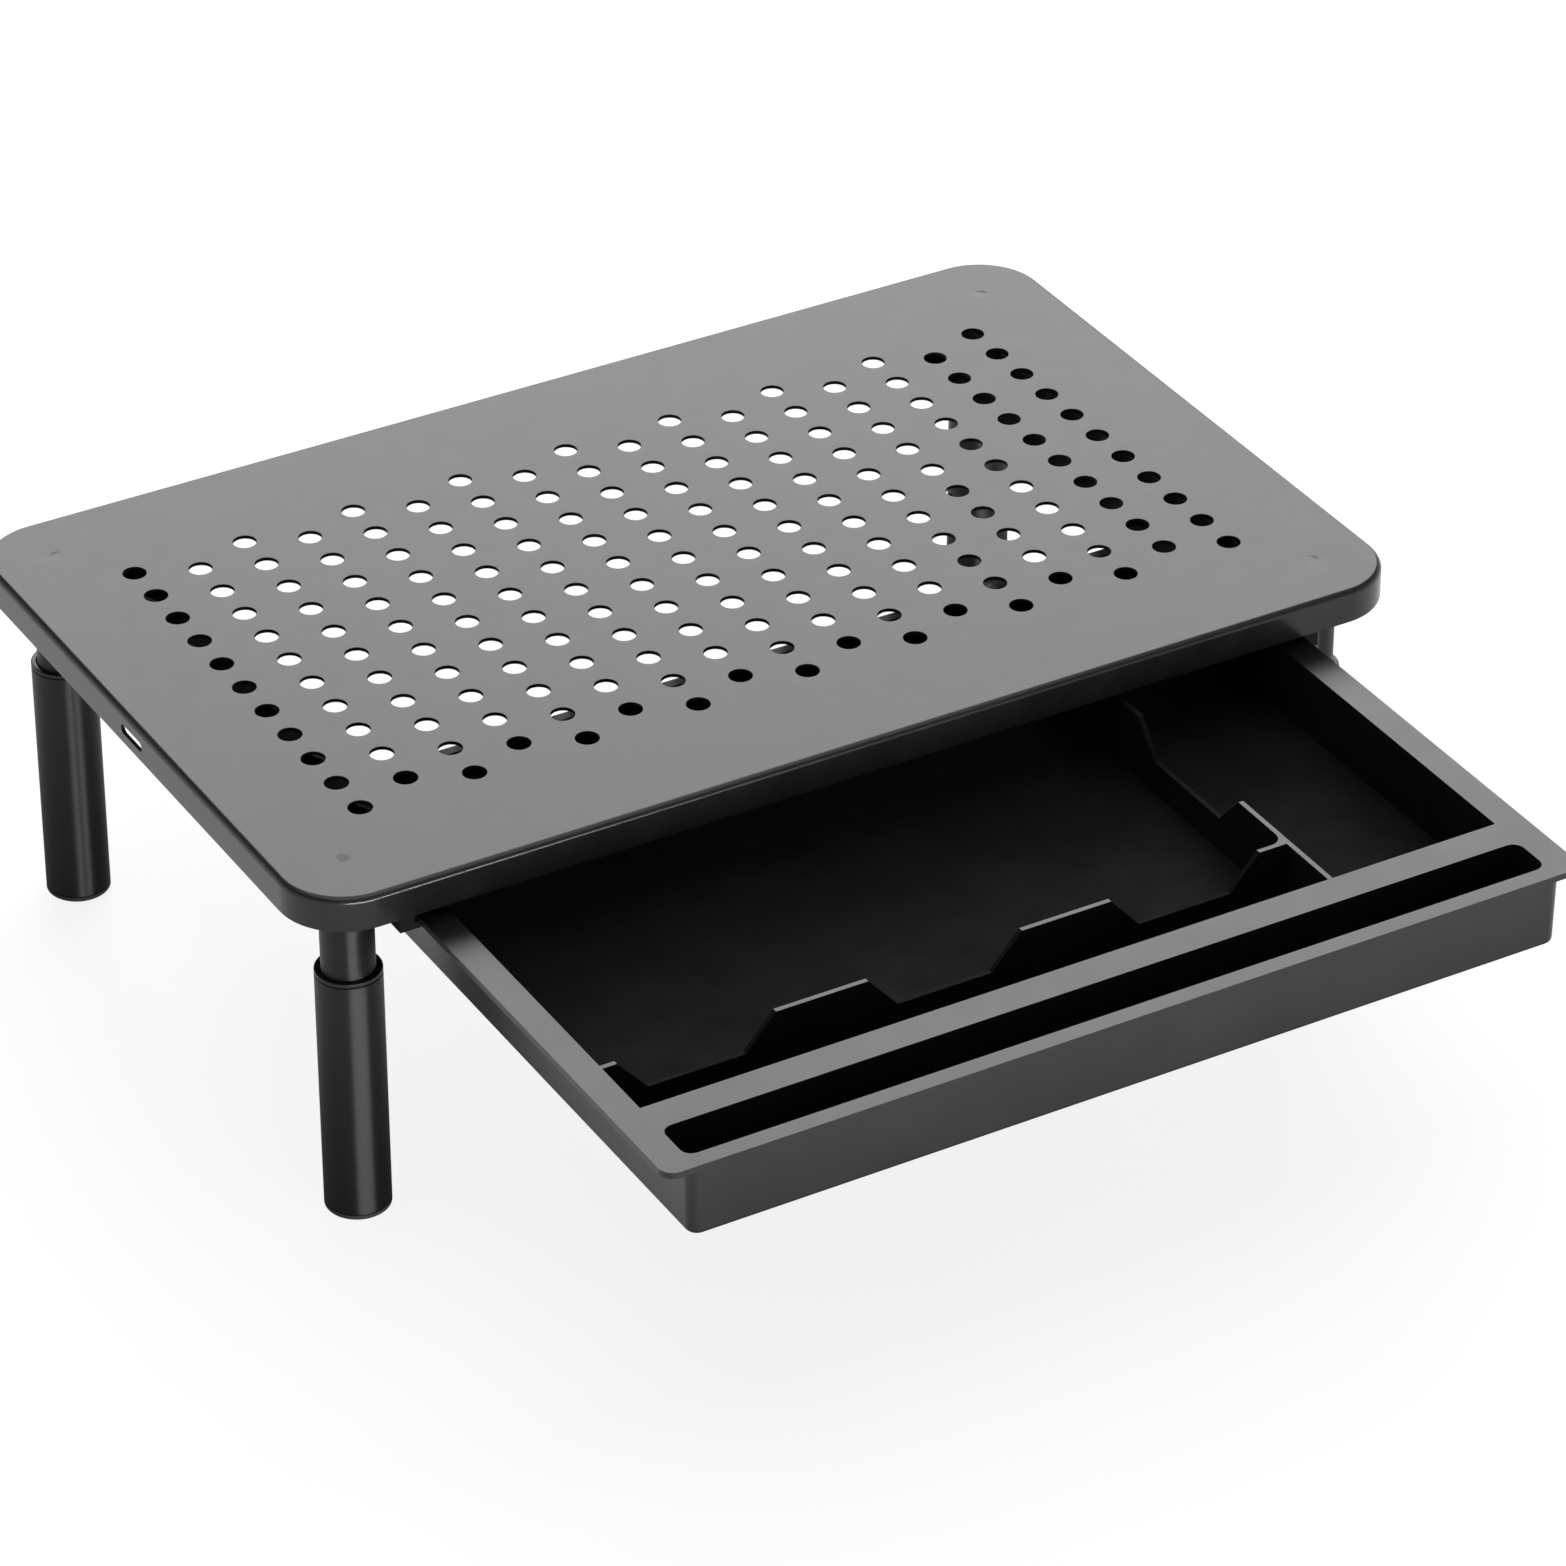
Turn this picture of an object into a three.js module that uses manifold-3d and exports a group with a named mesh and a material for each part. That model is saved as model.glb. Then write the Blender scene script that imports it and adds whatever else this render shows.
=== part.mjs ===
// Monitor riser: a perforated steel top on four telescoping legs, with a moulded drawer under it.
// Millimetres, +Z up, the drawer opens toward -Y. The origin is on the ground, in the middle of the
// outline that the riser has with its drawer drawn out.

import * as THREE from 'three';
import { mergeVertices } from 'three/addons/utils/BufferGeometryUtils.js';
import Module from 'manifold-3d';

const wasm = await Module();
wasm.setup();

// Fits that several pieces share
const fitGap = 0.3;
const weldSink = 0.5;
const overrun = 1;

// Facets of the round forms
const tubeSides = 16;
const smallSides = 12;
const ventSides = 8;
const cornerSteps = 5;
const edgeSteps = 3;

// Top plate
const riserHeight = 120;
const plateWidth = 370;
const plateDepth = 235.5;
const plateCornerRadius = 21;
const plateEdgeRadius = 2;
const sheetThickness = 1.2;
const skirtHeight = 11;
const ventDiameter = 7.3;
const ventMarginX = 37;
const ventMarginY = 42.75;
const ventColumns = 9;
const ventRows = 11;
const cableSlotLength = 14;
const cableSlotHeight = 3.2;
const cableSlotDrop = 6;
const weldMarkRadius = 2.5;
const weldMarkDepth = 0.25;

// Drawer
const drawerOpen = 141;
const drawerSideMargin = 34.7;
const drawerRearMargin = 16.5;
const drawerHeight = 23.6;
const drawerHeadGap = 3;
const flangeThickness = 2;
const flangeOverhang = 7.5;
const flangeCornerRadius = 4.5;
const flangeRearLedge = 1.6;
const drawerWall = 1.8;
const drawerFloor = 1.9;
const tubDraft = 0.3;
const tubCornerRadius = 4;
const tubBottomRadius = 1.6;
const frontRim = 5.55;
const phoneSlotWidth = 14.7;
const phoneSlotCornerRadius = 3.5;
const bandWidth = 11;
const bandWall = 1.6;
const penTrayWidth = 21.4;
const rightCompartmentWidth = 56.2;
const dividerThickness = 1.6;
const dividerFillet = 4;
const notchPitch = 80;
const notchDepth = 11;
const notchSlope = 9.7;
const trayNotchStart = 4.65;
const trayNotchOpening = 50.3;
const sideNotchStart = 46.7;
const sideNotchOpening = 54.3;
const stopRibLength = 4;
const stopRibHeight = 5;
const stopRibReach = 5.5;
const stopTravel = 15;

// Drawer rails
const railFrontInset = 4.15;
const railSideGap = 0.5;
const railWeb = 2;
const railRibDepth = 2.8;
const railRibThickness = 2;
const railPocketPitch = 32;
const railPocketCount = 5;
const railPocketMargin = 3;
const guideThickness = 2;
const guideReach = 16.3;
const lipThickness = 2.2;
const lipTubGap = 1;
const rearStopThickness = 2.4;
const stopLugSetback = 9;
const stopLugLength = 5.7;
const stopLugHeight = 3.5;
const stopLugReach = 5.5;
const legRailGap = 0.5;

// Rail ears, the studs that carry them and their nuts
const railStudRadius = 2;
const railStudLength = 9;
const railStudPitch = 60;
const railStudFromRail = 6.4;
const earRadius = 6;
const earThickness = 2.5;
const nutFlangeRadius = 4.6;
const nutFlangeThickness = 1;
const nutHexRadius = 4.04;
const nutHeight = 4;

// Telescoping legs
const legInsetX = 21;
const legInsetY = 21.55;
const heightStep = 20;
const upperTubeRadius = 8;
const upperTubeWall = 1;
const tubeEndClearance = 2.4;
const lowerTubeRadius = 10;
const lowerTubeWall = 0.8;
const bushTopDrop = 36.8;
const bushFlangeThickness = 1.3;
const bushFlangeEdgeRadius = 0.9;
const bushSleeveLength = 8;
const bushGap = 0.25;
const footPadThickness = 1.6;
const footPadEdgeRadius = 0.9;
const footPlugHeight = 5;
const footPlugWall = 1.6;
const legStudRadius = 4;
const legStudLength = 12;
const weldCollarRadius = 7.6;
const weldCollarThickness = 1;
const insertFlangeThickness = 1.5;
const insertLength = 14;

// Snap buttons
const buttonAboveTubeEnd = 16;
const buttonRadius = 2.6;
const buttonTravel = 2.4;
const buttonDomeHeight = 1;
const buttonShoulderRadius = 3.4;
const buttonShoulderThickness = 1;
const springWidth = 5;
const springThickness = 0.5;
const springBelowButton = 5;
const springAboveButton = 9;

// Levels, measured down from the top of the plate
const plateUnderside = -sheetThickness;
const drawerTop = -skirtHeight - drawerHeadGap;
const flangeBottom = drawerTop - flangeThickness;
const drawerBottom = drawerTop - drawerHeight;
const railTop = plateUnderside - fitGap;
const guideBottom = drawerTop + fitGap;
const guideTop = guideBottom + guideThickness;
const lipTop = flangeBottom - fitGap;
const railBottom = lipTop - lipThickness;

// Places across the riser, measured out from its middle
const drawerWidth = plateWidth - 2 * drawerSideMargin;
const ventPitchX = (plateWidth - 2 * ventMarginX) / (ventColumns - 1);
const legX = plateWidth / 2 - legInsetX;
const legY = plateDepth / 2 - legInsetY;
const tubHalfWidth = drawerWidth / 2 - flangeOverhang;
const railInner = drawerWidth / 2 + railSideGap;
const railOuter = railInner + railWeb + railRibDepth;
const guideInner = railInner - guideReach;
const lipInner = tubHalfWidth + lipTubGap;
const railStudX = railOuter + railStudFromRail;

// Places from front to rear, with the plate's middle at zero
const drawerDepth = plateDepth - drawerRearMargin;
const ventPitchY = (plateDepth - 2 * ventMarginY) / (ventRows - 1);
const drawerFront = -plateDepth / 2 - drawerOpen;
const drawerRear = drawerFront + drawerDepth;
const phoneSlotFront = drawerFront + frontRim;
const bandFront = phoneSlotFront + phoneSlotWidth;
const compartmentFront = bandFront + bandWidth;
const compartmentRear = drawerRear - flangeRearLedge - drawerWall;
const railFront = -plateDepth / 2 + railFrontInset;
const rearStopFace = drawerRear + drawerOpen + fitGap;
const railRear = rearStopFace + rearStopThickness;
const stopLugFront = railFront + stopLugSetback;
const stopLugRear = stopLugFront + stopLugLength;

// Heights inside a leg
const upperTubeTop = plateUnderside - weldCollarThickness - 2 * fitGap - insertFlangeThickness;
const footClearHeight = footPadThickness + footPlugHeight + tubeEndClearance;
const upperTubeBottom = -riserHeight + heightStep + footClearHeight;
const upperTubeInner = upperTubeRadius - upperTubeWall;
const lowerTubeInner = lowerTubeRadius - lowerTubeWall;
const buttonLevel = upperTubeBottom + buttonAboveTubeEnd;
const bushFlangeBottom = -bushTopDrop - bushFlangeThickness;
const facetShrink = Math.cos(Math.PI / tubeSides);
const halfTurn = Math.PI;
const quarterTurn = Math.PI / 2;

// Finishes
const finishes = {
  steel: { color: 0x4a4b4c, roughness: 0.42, metalness: 0.55 },
  tube: { color: 0x1c1d1e, roughness: 0.3, metalness: 0.6 },
  plastic: { color: 0x26272a, roughness: 0.45, metalness: 0 },
  rubber: { color: 0x161617, roughness: 0.8, metalness: 0 },
  zinc: { color: 0x9a9da1, roughness: 0.35, metalness: 0.9 },
  spring: { color: 0x7d8084, roughness: 0.3, metalness: 0.95 },
};

// Turns a closed geometry into a solid with its faces pointing out.
function solidOf(geometry) {
  const bare = geometry.clone();
  bare.deleteAttribute('normal');
  bare.deleteAttribute('uv');
  const merged = mergeVertices(bare);
  const corners = merged.attributes.position;
  const kept = [];
  let volume = 0;
  const first = new THREE.Vector3();
  const second = new THREE.Vector3();
  const third = new THREE.Vector3();
  for (let at = 0; at < merged.index.count; at += 3) {
    const [a, b, c] = [0, 1, 2].map((step) => merged.index.getX(at + step));
    if (a === b || b === c || c === a) {
      continue;
    }
    first.fromBufferAttribute(corners, a);
    second.fromBufferAttribute(corners, b);
    third.fromBufferAttribute(corners, c);
    volume += first.dot(second.cross(third));
    kept.push([a, b, c]);
  }
  const outward = volume > 0 ? kept : kept.map(([a, b, c]) => [a, c, b]);
  return new wasm.Manifold(new wasm.Mesh({
    numProp: 3,
    vertProperties: new Float32Array(corners.array),
    triVerts: new Uint32Array(outward.flat()),
  }));
}

function geometryOf(solid) {
  const mesh = solid.getMesh();
  const geometry = new THREE.BufferGeometry();
  geometry.setAttribute('position', new THREE.BufferAttribute(mesh.vertProperties, 3));
  geometry.setIndex(new THREE.BufferAttribute(mesh.triVerts, 1));
  geometry.computeVertexNormals();
  return geometry;
}

function join(solids) {
  return solids.reduce((whole, piece) => whole.add(piece));
}

function cut(solid, tools) {
  return tools.reduce((rest, tool) => rest.subtract(tool), solid);
}

// Points of an arc about a centre, both ends included.
function arcPoints(x, y, radius, from, to, steps) {
  return Array.from({ length: steps + 1 }, (_, step) => {
    const angle = from + ((to - from) * step) / steps;
    return new THREE.Vector2(x + radius * Math.cos(angle), y + radius * Math.sin(angle));
  });
}

function circlePoints(x, y, radius, sides) {
  return arcPoints(x, y, radius, 0, 2 * halfTurn, sides).slice(0, sides);
}

// Rectangle with round corners, about a centre.
function roundedOutline(width, depth, radius, centreY = 0) {
  const x = width / 2 - radius;
  const y = depth / 2 - radius;
  const corners = [[x, y], [-x, y], [-x, -y], [x, -y]];
  return corners.flatMap(([cornerX, cornerY], quarter) => {
    const from = quarter * quarterTurn;
    return arcPoints(cornerX, centreY + cornerY, radius, from, from + quarterTurn, cornerSteps);
  });
}

// Prism that stands on an outline, between two levels.
function prism(outline, bottom, top) {
  const shape = new THREE.Shape(outline);
  const geometry = new THREE.ExtrudeGeometry(shape, { depth: top - bottom, bevelEnabled: false });
  return solidOf(geometry.translate(0, 0, bottom));
}

// Prism along Y, whose outline is given by x and z.
function prismAlongY(outline, front, rear) {
  const shape = new THREE.Shape(outline);
  const geometry = new THREE.ExtrudeGeometry(shape, { depth: rear - front, bevelEnabled: false });
  return solidOf(geometry.rotateX(quarterTurn).translate(0, rear, 0));
}

// Prism along X, whose outline is given by y and z.
function prismAlongX(outline, left, right) {
  const shape = new THREE.Shape(outline);
  const geometry = new THREE.ExtrudeGeometry(shape, { depth: right - left, bevelEnabled: false });
  return solidOf(geometry.rotateX(quarterTurn).rotateZ(quarterTurn).translate(left, 0, 0));
}

function block(left, right, front, rear, bottom, top) {
  const geometry = new THREE.BoxGeometry(right - left, rear - front, top - bottom);
  return solidOf(geometry.translate((left + right) / 2, (front + rear) / 2, (bottom + top) / 2));
}

// Body of revolution about Z, from points of radius and level.
function turned(profile, sides, x = 0, y = 0) {
  const points = profile.map(([radius, level]) => new THREE.Vector2(radius, level));
  const geometry = new THREE.LatheGeometry(points, sides);
  return solidOf(geometry.rotateX(quarterTurn).translate(x, y, 0));
}

function rod(radius, bottom, top, sides, x = 0, y = 0) {
  return turned([[0, bottom], [radius, bottom], [radius, top], [0, top]], sides, x, y);
}

// Closed solid through a stack of level outlines with the same number of points.
function stacked(levels) {
  const count = levels[0].outline.length;
  const positions = levels.flatMap(({ z, outline }) => outline.flatMap(({ x, y }) => [x, y, z]));
  const index = [];
  for (let row = 0; row < levels.length - 1; row += 1) {
    for (let column = 0; column < count; column += 1) {
      const low = row * count + column;
      const lowNext = row * count + ((column + 1) % count);
      index.push(low, lowNext, lowNext + count, low, lowNext + count, low + count);
    }
  }
  const lid = (levels.length - 1) * count;
  for (const [a, b, c] of THREE.ShapeUtils.triangulateShape(levels[0].outline, [])) {
    index.push(c, b, a, a + lid, b + lid, c + lid);
  }
  const geometry = new THREE.BufferGeometry();
  geometry.setAttribute('position', new THREE.Float32BufferAttribute(positions, 3));
  geometry.setIndex(index);
  return solidOf(geometry);
}

function piece(name, solid, finish) {
  const material = new THREE.MeshStandardMaterial(finishes[finish]);
  const mesh = new THREE.Mesh(geometryOf(solid), material);
  mesh.name = name;
  return mesh;
}

// Top plate

// Rounded block of the plate's outline, with its top edge rolled over.
function plateBlock(inset, bottom, top, edgeRadius) {
  const outlineAt = (extra) => roundedOutline(
    plateWidth - 2 * (inset + extra),
    plateDepth - 2 * (inset + extra),
    plateCornerRadius - inset - extra,
  );
  const levels = [{ z: bottom, outline: outlineAt(0) }];
  for (let step = 0; step <= edgeSteps; step += 1) {
    const angle = (quarterTurn * step) / edgeSteps;
    const extra = edgeRadius * (1 - Math.cos(angle));
    levels.push({ z: top - edgeRadius * (1 - Math.sin(angle)), outline: outlineAt(extra) });
  }
  return stacked(levels);
}

// Centres of the vent holes: a grid, and a second grid half a pitch over.
function ventCentres() {
  const centres = [];
  for (const shift of [0, 1]) {
    const columns = ventColumns - shift;
    const rows = ventRows - shift;
    for (let column = 0; column < columns; column += 1) {
      for (let row = 0; row < rows; row += 1) {
        centres.push([
          (column - (columns - 1) / 2) * ventPitchX,
          (row - (rows - 1) / 2) * ventPitchY,
        ]);
      }
    }
  }
  return centres;
}

function ventCutters() {
  const shapes = ventCentres().map(([x, y]) => (
    new THREE.Shape(circlePoints(x, y, ventDiameter / 2, ventSides))
  ));
  const depth = sheetThickness + 2 * overrun;
  const geometry = new THREE.ExtrudeGeometry(shapes, { depth, bevelEnabled: false });
  return solidOf(geometry.translate(0, 0, plateUnderside - overrun));
}

function cableSlotCutter() {
  const radius = cableSlotHeight / 2;
  const reach = cableSlotLength / 2 - radius;
  const outline = [
    ...arcPoints(reach, -cableSlotDrop, radius, -quarterTurn, quarterTurn, cornerSteps),
    ...arcPoints(-reach, -cableSlotDrop, radius, quarterTurn, quarterTurn + halfTurn, cornerSteps),
  ];
  return prismAlongX(outline, -plateWidth / 2 - overrun, plateWidth / 2 + overrun);
}

const legPlaces = [
  { name: 'front_left', x: -legX, y: -legY, turn: 0 },
  { name: 'front_right', x: legX, y: -legY, turn: halfTurn },
  { name: 'rear_left', x: -legX, y: legY, turn: 0 },
  { name: 'rear_right', x: legX, y: legY, turn: halfTurn },
];

const railSides = [
  { name: 'left', side: -1 },
  { name: 'right', side: 1 },
];

const railStudPlaces = [
  { name: 'front', y: -railStudPitch },
  { name: 'middle', y: 0 },
  { name: 'rear', y: railStudPitch },
];

// Stud with its weld collar, which holds one leg.
function legStud(x, y) {
  const start = plateUnderside + weldSink;
  const collarEnd = plateUnderside - weldCollarThickness;
  return turned([
    [0, start],
    [weldCollarRadius, start],
    [weldCollarRadius, collarEnd],
    [legStudRadius, collarEnd],
    [legStudRadius, plateUnderside - legStudLength],
    [0, plateUnderside - legStudLength],
  ], smallSides, x, y);
}

function weldMark(x, y) {
  return rod(weldMarkRadius, -weldMarkDepth, overrun, smallSides, x, y);
}

function railStud(x, y) {
  return rod(railStudRadius, plateUnderside - railStudLength, plateUnderside + weldSink, ventSides, x, y);
}

function makeTopPlate() {
  const outside = plateBlock(0, -skirtHeight, 0, plateEdgeRadius);
  const innerEdge = Math.max(plateEdgeRadius - sheetThickness, fitGap);
  const inside = plateBlock(sheetThickness, -skirtHeight - overrun, plateUnderside, innerEdge);
  const studs = legPlaces.map(({ x, y }) => legStud(x, y));
  for (const { side } of railSides) {
    studs.push(...railStudPlaces.map(({ y }) => railStud(side * railStudX, y)));
  }
  const shell = cut(outside, [inside, ventCutters(), cableSlotCutter()]);
  const marks = legPlaces.map(({ x, y }) => weldMark(x, y));
  return piece('top_plate', cut(join([shell, ...studs]), marks), 'steel');
}

// Drawer

// Upright wall whose top edge is notched at an even pitch, as an outline of place and level.
function notchedOutline(from, to, notchFrom, opening) {
  const low = drawerTop - notchDepth;
  const base = drawerBottom + drawerFloor - weldSink;
  const points = [[from, base], [from, drawerTop]];
  for (let at = notchFrom; at + opening < to; at += notchPitch) {
    points.push([at, drawerTop]);
    points.push([at + notchSlope, low]);
    points.push([at + opening - notchSlope, low]);
    points.push([at + opening, drawerTop]);
  }
  points.push([to, drawerTop], [to, base]);
  return points.map(([place, level]) => new THREE.Vector2(place, level));
}

// Outside of the tub, drafted, with a rounded bottom edge.
function tubBlock() {
  const rear = drawerRear - flangeRearLedge;
  const depth = rear - drawerFront;
  const centreY = (drawerFront + rear) / 2;
  const outlineAt = (inset) => roundedOutline(
    2 * (tubHalfWidth - inset),
    depth - 2 * inset,
    tubCornerRadius - inset,
    centreY,
  );
  const levels = [];
  for (let step = 0; step <= edgeSteps; step += 1) {
    const angle = (quarterTurn * step) / edgeSteps;
    levels.push({
      z: drawerBottom + tubBottomRadius * (1 - Math.cos(angle)),
      outline: outlineAt(tubDraft + tubBottomRadius * (1 - Math.sin(angle))),
    });
  }
  levels.push({ z: flangeBottom, outline: outlineAt(0) });
  levels.push({ z: drawerTop - flangeThickness / 2, outline: outlineAt(0) });
  return stacked(levels);
}

// Pocket that opens upward and narrows toward the drawer's floor.
function pocket(halfWidth, front, rear, radius) {
  const centreY = (front + rear) / 2;
  const floor = drawerBottom + drawerFloor;
  const outlineAt = (inset) => roundedOutline(
    2 * (halfWidth - inset),
    rear - front - 2 * inset,
    radius,
    centreY,
  );
  return stacked([
    { z: floor, outline: outlineAt(tubDraft) },
    { z: flangeBottom, outline: outlineAt(0) },
    { z: drawerTop + overrun, outline: outlineAt(0) },
  ]);
}

// Quarter round in the corner between the two dividers.
function dividerFilletSolid(dividerX, trayRear) {
  const sunk = dividerThickness / 2;
  const cornerX = dividerX - dividerThickness / 2;
  const outline = [
    new THREE.Vector2(cornerX + sunk, trayRear - sunk),
    ...arcPoints(
      cornerX - dividerFillet,
      trayRear + dividerFillet,
      dividerFillet,
      0,
      -quarterTurn,
      cornerSteps,
    ),
  ];
  outline.push(new THREE.Vector2(cornerX - dividerFillet, trayRear - sunk));
  outline.splice(1, 0, new THREE.Vector2(cornerX + sunk, trayRear + dividerFillet));
  return prism(outline, drawerBottom + drawerFloor - weldSink, drawerTop);
}

// Rib on the tub's side that meets the rail's lug and stops the drawer.
function stopRib(side) {
  const front = stopLugRear + fitGap + stopTravel;
  const top = railBottom - legRailGap;
  const inner = side * (tubHalfWidth - tubDraft);
  const outer = side * (tubHalfWidth + stopRibReach);
  const left = Math.min(inner, outer);
  const right = Math.max(inner, outer);
  return block(left, right, front, front + stopRibLength, top - stopRibHeight, top);
}

function makeDrawer() {
  const centreY = (drawerFront + drawerRear) / 2;
  const flangeOutline = roundedOutline(drawerWidth, drawerDepth, flangeCornerRadius, centreY);
  const flange = prism(flangeOutline, flangeBottom, drawerTop);
  const compartmentHalf = tubHalfWidth - drawerWall;
  const phoneSlot = pocket(compartmentHalf, phoneSlotFront, bandFront, phoneSlotCornerRadius);
  const compartment = pocket(compartmentHalf, compartmentFront, compartmentRear, fitGap);
  const bandHollow = block(
    -compartmentHalf + tubDraft + bandWall,
    compartmentHalf - tubDraft - bandWall,
    bandFront + bandWall,
    compartmentFront - bandWall,
    drawerBottom - overrun,
    flangeBottom,
  );
  const tub = cut(join([tubBlock(), flange]), [phoneSlot, compartment, bandHollow]);

  const trayRear = compartmentFront + penTrayWidth + dividerThickness;
  const sideX = compartmentHalf - rightCompartmentWidth - dividerThickness / 2;
  const sunk = drawerWall / 2;
  const trayDivider = prismAlongY(
    notchedOutline(-compartmentHalf - sunk, sideX, trayNotchStart - compartmentHalf, trayNotchOpening),
    trayRear - dividerThickness,
    trayRear,
  );
  const sideDivider = prismAlongX(
    notchedOutline(
      compartmentFront - bandWall / 2,
      compartmentRear + sunk,
      compartmentFront + sideNotchStart,
      sideNotchOpening,
    ),
    sideX - dividerThickness / 2,
    sideX + dividerThickness / 2,
  );
  const fillet = dividerFilletSolid(sideX, trayRear);
  const ribs = railSides.map(({ side }) => stopRib(side));
  return piece('drawer_tray', join([tub, trayDivider, sideDivider, fillet, ...ribs]), 'plastic');
}

// Drawer rails, drawn for the right side and mirrored by the sign of side

function railOutline(points, side) {
  return points.map(([x, z]) => new THREE.Vector2(side * x, z));
}

function railBlock(side, near, far, front, rear, bottom, top) {
  return block(Math.min(side * near, side * far), Math.max(side * near, side * far), front, rear, bottom, top);
}

// Channel that holds the drawer's flange between its guide and its lip.
function railChannel(side) {
  const profile = railOutline([
    [railOuter, railTop],
    [railOuter, railBottom],
    [lipInner, railBottom],
    [lipInner, lipTop],
    [railInner, lipTop],
    [railInner, guideBottom],
    [guideInner, guideBottom],
    [guideInner, guideTop],
    [railInner, guideTop],
    [railInner, railTop],
  ], side);
  return prismAlongY(profile, railFront, railRear);
}

function railPocketCentres() {
  return Array.from({ length: railPocketCount }, (_, at) => (
    (at - (railPocketCount - 1) / 2) * railPocketPitch
  ));
}

// Pockets that lighten the outer face and leave upright ribs.
function railPockets(side) {
  const half = (railPocketPitch - railRibThickness) / 2;
  return railPocketCentres().map((centre) => railBlock(
    side,
    railInner + railWeb,
    railOuter + overrun,
    centre - half,
    centre + half,
    railBottom + railPocketMargin,
    railTop - earThickness - railPocketMargin / 2,
  ));
}

// Gussets that carry the guide from the web.
function railGussets(side) {
  const profile = railOutline([
    [railInner + railWeb / 2, guideTop - guideThickness / 2],
    [guideInner + railRibThickness, guideTop - guideThickness / 2],
    [guideInner + railRibThickness, guideTop],
    [railInner, railTop],
    [railInner + railWeb / 2, railTop],
  ], side);
  const half = railRibThickness / 2;
  return railPocketCentres().map((centre) => prismAlongY(profile, centre - half, centre + half));
}

function railEar(side, y) {
  const round = arcPoints(railStudX, y, earRadius, quarterTurn, -quarterTurn, cornerSteps);
  const root = railInner + railWeb;
  const points = [
    new THREE.Vector2(root, y + earRadius),
    ...round,
    new THREE.Vector2(root, y - earRadius),
  ];
  const outline = points.map((point) => new THREE.Vector2(side * point.x, point.y));
  return prism(outline, railTop - earThickness, railTop);
}

function makeRail(name, side) {
  const stop = railBlock(
    side,
    lipInner,
    railInner + railWeb / 2,
    rearStopFace,
    railRear,
    lipTop - lipThickness / 2,
    guideBottom + guideThickness / 2,
  );
  const lug = railBlock(
    side,
    lipInner,
    lipInner + stopLugReach,
    stopLugFront,
    stopLugRear,
    railBottom - stopLugHeight,
    railBottom + lipThickness / 2,
  );
  const scallops = [-legY, legY].map((y) => rod(
    lowerTubeRadius + legRailGap,
    railBottom - overrun,
    railTop + overrun,
    tubeSides,
    side * legX,
    y,
  ));
  const channel = cut(railChannel(side), [...railPockets(side), ...scallops]);
  const ears = railStudPlaces.map(({ y }) => railEar(side, y));
  const holes = railStudPlaces.map(({ y }) => rod(
    railStudRadius + fitGap,
    railTop - earThickness - overrun,
    railTop + overrun,
    ventSides,
    side * railStudX,
    y,
  ));
  const body = join([channel, stop, lug, ...railGussets(side), ...ears]);
  return piece(`${name}_rail`, cut(body, holes), 'plastic');
}

// Flanged hexagon nut under a rail ear.
function makeRailNut(name, x, y) {
  const top = railTop - earThickness - fitGap;
  const flange = rod(nutFlangeRadius, top - nutFlangeThickness, top, smallSides);
  const hexagon = prism(circlePoints(0, 0, nutHexRadius, 6), top - nutHeight, top - nutFlangeThickness / 2);
  const bore = rod(railStudRadius + fitGap, top - nutHeight - overrun, top + overrun, ventSides);
  const nut = piece(name, cut(join([flange, hexagon]), [bore]), 'zinc');
  nut.position.set(x, y, 0);
  return nut;
}

// Legs, drawn about their own axis with the snap button facing +X

function tubeProfile(outer, inner, bottom, top) {
  return [[outer, bottom], [outer, top], [inner, top], [inner, bottom], [outer, bottom]];
}

// Round cutter that opens one side of a tube for the button.
function buttonHole(level, reach) {
  const cutter = new THREE.CylinderGeometry(
    buttonRadius + fitGap,
    buttonRadius + fitGap,
    reach,
    smallSides,
  );
  return solidOf(cutter.rotateZ(quarterTurn).translate(reach / 2, 0, level));
}

function makeUpperTube(name) {
  const tube = turned(tubeProfile(upperTubeRadius, upperTubeInner, upperTubeBottom, upperTubeTop), tubeSides);
  return piece(name, cut(tube, [buttonHole(buttonLevel, upperTubeRadius + overrun)]), 'tube');
}

function makeLegInsert(name) {
  const top = plateUnderside - weldCollarThickness - fitGap;
  const flangeEnd = top - insertFlangeThickness;
  const bottom = top - insertLength;
  const bore = legStudRadius + fitGap;
  const body = upperTubeInner - fitGap;
  return piece(name, turned([
    [bore, bottom],
    [body, bottom],
    [body, flangeEnd],
    [upperTubeRadius, flangeEnd],
    [upperTubeRadius, top],
    [bore, top],
    [bore, bottom],
  ], tubeSides), 'zinc');
}

// Lower tube with three holes, one for each height.
function makeLowerTube(name) {
  const bottom = -riserHeight + footPadThickness + fitGap;
  const top = bushFlangeBottom - fitGap;
  const tube = turned(tubeProfile(lowerTubeRadius, lowerTubeInner, bottom, top), tubeSides);
  const holes = [-1, 0, 1].map((step) => (
    buttonHole(buttonLevel + step * heightStep, lowerTubeRadius + overrun)
  ));
  return piece(name, cut(tube, holes), 'tube');
}

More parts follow.
